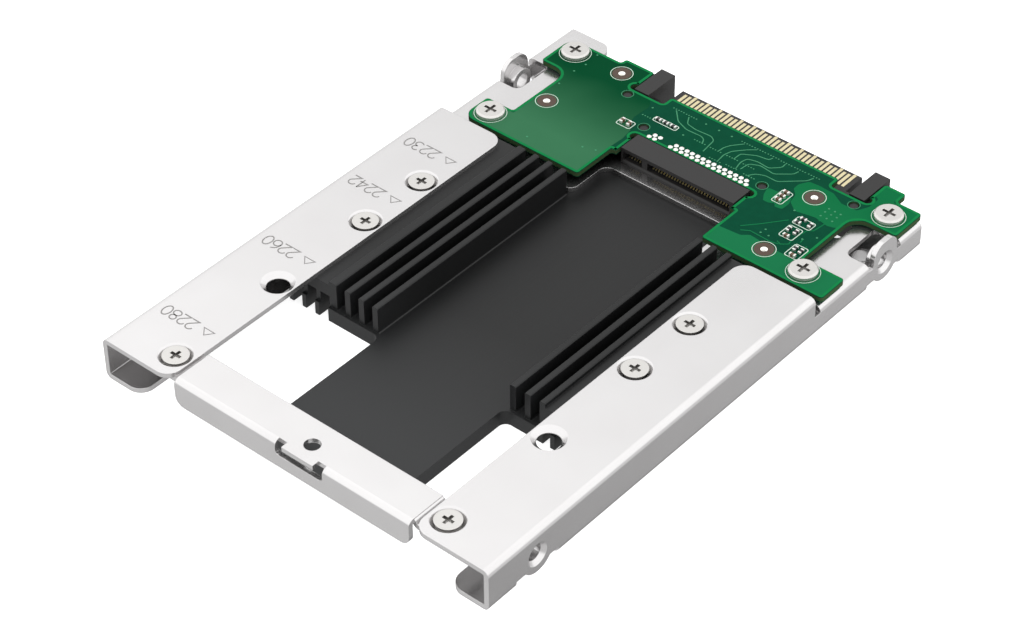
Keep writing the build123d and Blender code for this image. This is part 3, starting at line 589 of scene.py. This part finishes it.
# Fan of tracks behind the socket. Thin tracks run from the socket's joints to rows of small vias and on to
# the plug, and each via is a drilled and plated hole closed by mask, seen as a pale dot.
via_r = 0.17
dash_r = 0.13
dash_step = 0.47
dash_count = 5
fan_width = 0.17
fan_tracks = (((-7.82, 42.36), (-5.96, 40.39), (-3.73, 39.56), (-1.01, 39.69), (-0.23, 39.28),
               (0.08, 38.48)),
              ((-5.35, 42.24), (-4.52, 40.78), (-2.68, 40.43), (0.13, 40.63), (1.04, 40.06), (1.41, 36.95)),
              ((5.04, 42.33), (3.67, 40.67), (3.21, 39.65), (3.11, 38.36)),
              ((7.31, 42.37), (6.18, 41.43), (4.63, 39.62), (4.27, 38.27), (4.49, 36.37)),
              ((10.31, 42.24), (10.08, 41.53), (8.16, 41.24), (6.03, 40.0), (6.01, 38.41)),
              ((12.56, 42.29), (12.66, 41.34), (11.28, 39.93), (9.0, 40.12), (7.51, 39.66), (7.24, 38.4),
               (7.64, 36.66)),
              ((15.12, 42.09), (14.92, 41.15), (12.67, 39.28), (9.98, 39.63), (8.42, 38.86), (8.21, 37.12)),
              ((17.74, 42.21), (17.35, 41.11), (14.11, 38.16), (11.97, 38.19), (10.61, 37.57),
               (9.91, 36.48)))
dash_rows = ((-7.53, 42.6), (-5.11, 42.55), (-10.11, 38.3), (-0.33, 38.4), (2.63, 38.38), (4.01, 36.39),
             (5.7, 38.41), (6.93, 36.58), (8.75, 38.35), (10.22, 36.48), (5.32, 42.56), (7.72, 42.56),
             (10.15, 42.58), (12.6, 42.48), (15.06, 42.5), (17.53, 42.54))
vias = np.array(((19.48, 28.23), (19.34, 27.22), (20.67, 27.35), (26.25, 31.35), (20.06, 34.36),
                (24.8, 29.8), (23.65, 37.85), (24.7, 37.85), (25.7, 37.85), (23.65, 36.9), (24.7, 36.9),
                (25.7, 36.9), (23.65, 35.8), (24.7, 35.8), (25.7, 35.8), (-10.96, 40.57), (-26.0, 40.24),
                (-25.7, 42.65), (-25.9, 45.7), (-25.7, 36.3), (-20.8, 23.0), (-12.9, 26.35), (-10.9, 27.0),
                (-2.31, 42.5), (0.13, 42.5), (2.49, 42.54), (-3.28, 38.18)))


def eased(points, cut=0.36):
    """An open path with each inner corner p eased into three points: a = p + cut u and c = p + cut v, with u
    and v the unit ways to its neighbours, and between them (a + 2 p + c) / 4."""
    points = np.asarray(points, float)
    run = np.diff(points, axis=0)
    run /= np.linalg.norm(run, axis=1, keepdims=True)
    corner = points[1:-1]
    near, far = corner - cut * run[:-1], corner + cut * run[1:]
    middle = (near + 2 * corner + far) / 4
    return np.vstack((points[:1], np.stack((near, middle, far), 1).reshape(-1, 2), points[-1:]))


def discs(places, radius, rise, sides=10):
    """Many level discs of one radius: each is a polygon of equal steps round its place."""
    turn = np.linspace(0, 2 * np.pi, sides, endpoint=False)
    ring = radius * np.column_stack((np.cos(turn), np.sin(turn)))
    spread = (np.asarray(places)[:, None] + ring[None]).reshape(-1, 2)
    return (np.column_stack((spread, np.full(len(spread), rise))),
            np.arange(len(spread)).reshape(-1, sides))


tented, tree, place = start_material("masked_via_copper")
speck, green = two_tones(tree, place, mask_cloud, "276E4B", "3C8560")
gloss = node(tree, "ShaderNodeMapRange", {0: (speck, 0), 3: 0.35, 4: 0.5})
shader = node(tree, "ShaderNodeBsdfPrincipled", {"Base Color": (green, 0), "Roughness": (gloss, 0),
                                                 "IOR": 1.5, "Specular IOR Level": 0.15})
finish_material(tree, shader)
fan = [line(eased(path), fan_width, board_top + 2 * copper_rise) for path in fan_tracks]
add_piece("fan_tracks", *joined(fan), tented, "board_laminate")
dash_line = (np.arange(dash_count) - (dash_count - 1) / 2) * dash_step
dashes = np.array(dash_rows)[:, None] + np.column_stack((dash_line, np.zeros(dash_count)))[None]
dots = [discs(vias, via_r, board_top + 3 * copper_rise),
        discs(dashes.reshape(-1, 2), dash_r, board_top + 3 * copper_rise, sides=8)]
add_piece("vias", *joined(dots), tented, "board_laminate")

# Print on the board. White ink through a screen, in thin lines: rings round the screws and the plated holes,
# and boxes with round corners round the groups of chips. The rims of the peg holes are copper under mask.
ring_line = 0.11
ring_sides = 40
box_line = 0.14
box_corner = 0.4
ink_depth = 0.045
ink_rise = board_top + ink_depth
screw_places = np.array(((-28.85, 24.0), (29.2, 24.0), (-28.85, 43.95), (31.25, 41.9)))
screw_ring_r = 2.48
hole_ring_r = 1.72
peg_ring_r = 0.92
peg_line = 0.1
ink_speck = 0.3 * MM
chip_boxes = (((-11.65, 35.0), (1.35, 0.95)), ((-7.0, 38.75), (2.25, 0.62)), ((16.85, 35.7), (0.98, 1.62)),
              ((22.9, 32.8), (1.6, 0.95)), ((22.7, 29.9), (1.25, 1.5)), ((25.9, 26.9), (1.2, 1.55)))

ink, tree, place = start_material("white_screen_ink")
speck, tone = two_tones(tree, place, ink_speck, "A9BDAE", "C6D4C9")
gloss = node(tree, "ShaderNodeMapRange", {0: (speck, 0), 3: 0.5, 4: 0.7})
shader = node(tree, "ShaderNodeBsdfPrincipled", {"Base Color": (tone, 0), "Roughness": (gloss, 0),
                                                 "IOR": 1.5, "Specular IOR Level": 0.2})
finish_material(tree, shader)


def ring(at, radius, width, rise):
    """A flat ring between two circles, half its width to each side of the radius."""
    outer, inner = circle(at, radius + width / 2, ring_sides), circle(at, radius - width / 2, ring_sides)
    return band(outer, inner, rise)


def rounded_box(at, half, radius, steps=6):
    """A box outline with round corners, anticlockwise: a quarter circle about each corner's own middle."""
    turn = np.linspace(0, np.pi / 2, steps)[None] + np.array((0, 1, 2, 3))[:, None] * np.pi / 2
    sign = np.array(((1, 1), (-1, 1), (-1, -1), (1, -1)))
    middle = np.asarray(at) + sign * (np.asarray(half) - radius)
    return (middle[:, None] + radius * np.stack((np.cos(turn), np.sin(turn)), -1)).reshape(-1, 2)


prints = [ring(at, screw_ring_r, ring_line, ink_rise) for at in screw_places]
prints += [ring(at, hole_ring_r, ring_line, ink_rise) for at in hole_places]
prints += [band(rounded_box(at, half, box_corner),
                rounded_box(at, np.array(half) - box_line, box_corner - box_line), ink_rise)
           for at, half in chip_boxes]
add_piece("screen_print", *joined(prints), ink, "board_laminate")
rims = [ring(at, peg_ring_r, peg_line, board_top + 2 * copper_rise) for at in peg_places]
add_piece("peg_rims", *joined(rims), tented, "board_laminate")

# Rings of the four plated holes. Bare laminate and copper round each hole, tarnished brown where the mask
# stops short of it.
land_r = 1.5
stain_size = 0.6 * MM

bare, tree, place = start_material("tarnished_bare_copper")
stain, tone = two_tones(tree, place, stain_size, "42342A", "51423A", detail=3.0)
gloss = node(tree, "ShaderNodeMapRange", {0: (stain, 0), 3: 0.4, 4: 0.6})
shader = node(tree, "ShaderNodeBsdfPrincipled", {"Base Color": (tone, 0), "Roughness": (gloss, 0),
                                                 "IOR": 1.5, "Specular IOR Level": 0.2})
finish_material(tree, shader)
lands = [band(circle(at, land_r), circle(at, hole_r), board_top + 3 * copper_rise) for at in hole_places]
add_piece("hole_lands", *joined(lands), bare, "board_laminate")

# Walls of the four plated holes. The drilled holes are plated and tinned right through, pale and satin
# inside, and the tin leaves a small funnel at the mouth, which catches the light.
wall_gap = 0.01
throat_r = 0.26
throat_drop = 0.22
tin_speck = 0.3 * MM

tinned, tree, place = start_material("tinned_hole_wall")
speck, tone = two_tones(tree, place, tin_speck, "EDEBE6", "F8F7F3")
gloss = node(tree, "ShaderNodeMapRange", {0: (speck, 0), 3: 0.4, 4: 0.55})
shader = node(tree, "ShaderNodeBsdfPrincipled", {"Base Color": (tone, 0), "Metallic": 0.2,
                                                 "Roughness": (gloss, 0)})
finish_material(tree, shader)


def inner_wall(at, levels, sides=24):
    """The inner face of a round hole: a circle for each (radius, height) from the foot up, and between two
    circles a row of quads that face the axis."""
    points = np.vstack([np.column_stack((circle(at, radius, sides), np.full(sides, height)))
                        for radius, height in levels])
    i = np.arange(sides)
    j = (i + 1) % sides
    rows = [np.column_stack((j, i, i + sides, j + sides)) + row * sides for row in range(len(levels) - 1)]
    return points, np.vstack(rows)


hole_levels = ((throat_r, board_low.z / MM), (throat_r, board_top - throat_drop),
               (hole_r - wall_gap, board_top + 3 * copper_rise))
walls = [inner_wall(at, hole_levels) for at in hole_places]
add_piece("hole_walls", *joined(walls), tinned, "solder", smooth=True)

# Plug and socket housings. Black glass filled plastic, moulded, with the fine matt of the mould and edges
# that the mould leaves a little round.
mould_matt = 0.2 * MM
mould_edge = 0.08 * MM

moulded, tree, place = start_material("black_moulded_plastic")
matt, tone = two_tones(tree, place, mould_matt, "191818", "222121", detail=3.0)
gloss = node(tree, "ShaderNodeMapRange", {0: (matt, 0), 3: 0.42, 4: 0.58})
shader = node(tree, "ShaderNodeBsdfPrincipled", {"Base Color": (tone, 0), "Roughness": (gloss, 0),
                                                 "IOR": 1.5, "Specular IOR Level": 0.34})
finish_material(tree, shader, (matt, 0), 0.1, edge=mould_edge)
dress(["plug_housing", "socket_housing"], moulded)

# Contacts of plug and socket. Stamped copper alloy with a thin gold plate, pale and satin, worn lighter
# where the mating contacts rub, and with painted shade that darkens them between the housing's walls.
gold_wear = 0.4 * MM
gold_shade_reach = 1.5 * MM
gold_shade_open = (0.15, 0.55)

gold, tree, place = start_material("gold_plated_contact")
wear, tone = two_tones(tree, place, gold_wear, "CEC39B", "DBD1AC")
# Painted shade: the contacts turn near black deep between the housing's walls.
hollow = node(tree, "ShaderNodeAmbientOcclusion", {"Distance": gold_shade_reach}, samples=8)
lit = node(tree, "ShaderNodeMapRange", {0: (hollow, "AO"), 1: gold_shade_open[0], 2: gold_shade_open[1]})
shade = node(tree, "ShaderNodeMix", {0: (lit, 0), 6: colour("1E1B14"), 7: (tone, 0)}, data_type="RGBA")
gloss = node(tree, "ShaderNodeMapRange", {0: (wear, 0), 3: 0.25, 4: 0.4})
shader = node(tree, "ShaderNodeBsdfPrincipled", {"Base Color": (shade, 2), "Metallic": 1.0,
                                                 "Roughness": (gloss, 0)})
finish_material(tree, shader, (wear, 0), 0.05)
dress(["plug_upper_contacts", "plug_signal_contacts", "plug_lane_contacts", "plug_power_contacts",
       "socket_upper_contacts", "socket_lower_contacts"], gold)

# Solder joints of the card socket. Each contact's tail is reflowed to its pad, a small bright oval dome. The
# front row sits half a step from the rear one.
solder_flow = 0.3 * MM

solder, tree, place = start_material("reflowed_solder")
flow, tone = two_tones(tree, place, solder_flow, "DAD9D5", "EFEEEA")
gloss = node(tree, "ShaderNodeMapRange", {0: (flow, 0), 3: 0.25, 4: 0.4})
shader = node(tree, "ShaderNodeBsdfPrincipled", {"Base Color": (tone, 0), "Metallic": 0.7,
                                                 "Roughness": (gloss, 0)})
finish_material(tree, shader, (flow, 0), 0.1)
dress(["socket_solder"], solder)

# Screws. Nickel plated steel with cross recesses, cold headed: bright satin tops, and painted shade that
# darkens the recesses inside.
nickel_grain = 0.2 * MM
nickel_edge = 0.12 * MM
recess_shade_reach = 0.8 * MM
recess_shade_open = (0.48, 0.96)
recess_shade_r = 1.2 * MM
rail_screws = ((-24.7, -46.1), (24.7, -46.1), (-24.7, -8.1), (24.7, -8.1), (-24.7, 3.9), (24.7, 3.9))

nickel, tree, place = start_material("nickel_plated_screw_steel")
grain = node(tree, "ShaderNodeTexNoise", {"Vector": (place, "Object"), "Scale": 1 / nickel_grain,
                                          "Detail": 2.0})
# Painted shade: darker inside each recess, within the recess radius of a screw's axis.
hollow = node(tree, "ShaderNodeAmbientOcclusion", {"Distance": recess_shade_reach}, samples=8)
level = node(tree, "ShaderNodeVectorMath", {0: (place, "Object"), 1: (1, 1, 0)}, operation="MULTIPLY")
offs = [node(tree, "ShaderNodeVectorMath", {0: (level, 0), 1: (x * MM, y * MM, 0)}, operation="DISTANCE")
        for x, y in [*rail_screws, *screw_places.tolist()]]
nearest = offs[0]
for off in offs[1:]:
    nearest = node(tree, "ShaderNodeMath", {0: (nearest, "Value"), 1: (off, "Value")}, operation="MINIMUM")
rim = node(tree, "ShaderNodeMath", {0: (nearest, "Value"), 1: recess_shade_r}, operation="GREATER_THAN")
lit = node(tree, "ShaderNodeMapRange", {0: (hollow, "AO"), 1: recess_shade_open[0], 2: recess_shade_open[1]})
open_share = node(tree, "ShaderNodeMath", {0: (lit, 0), 1: (rim, 0)}, operation="MAXIMUM")
shade = node(tree, "ShaderNodeMix", {0: (open_share, 0), 6: colour("8C8A87"), 7: colour("C5C3C0")},
             data_type="RGBA")
gloss = node(tree, "ShaderNodeMapRange", {0: (grain, 0), 3: 0.26, 4: 0.38})
shader = node(tree, "ShaderNodeBsdfPrincipled", {"Base Color": (shade, 2), "Metallic": 0.9,
                                                 "Roughness": (gloss, 0)})
finish_material(tree, shader, (grain, 0), 0.06, edge=nickel_edge)
dress(["heatsink_screws", "bar_screws", "board_screws"], nickel)

# Chip parts. Fired ceramic bodies, brown for capacitors and black for resistors and links, with end caps
# dipped in tin.
chip_speck = 0.15 * MM
chip_edge = 0.05 * MM
chip_gloss_spread = 0.06

for name, code, rough, metallic, names in (
        ("brown_ceramic", "5A4230", 0.45, 0.0, ["capacitor_bodies"]),
        ("black_ceramic", "1A1A1A", 0.35, 0.0, ["resistor_bodies", "link_bodies"]),
        ("tinned_end_cap", "E3E2DE", 0.30, 0.7, ["capacitor_caps", "resistor_caps", "link_caps"])):
    fired, tree, place = start_material(name)
    speck = node(tree, "ShaderNodeTexNoise", {"Vector": (place, "Object"), "Scale": 1 / chip_speck})
    gloss = node(tree, "ShaderNodeMapRange", {0: (speck, 0), 3: rough - chip_gloss_spread,
                                              4: rough + chip_gloss_spread})
    shader = node(tree, "ShaderNodeBsdfPrincipled", {"Base Color": colour(code), "Metallic": metallic,
                                                     "Roughness": (gloss, 0)})
    finish_material(tree, shader, (speck, 0), 0.06, edge=chip_edge)
    dress(names, fired)
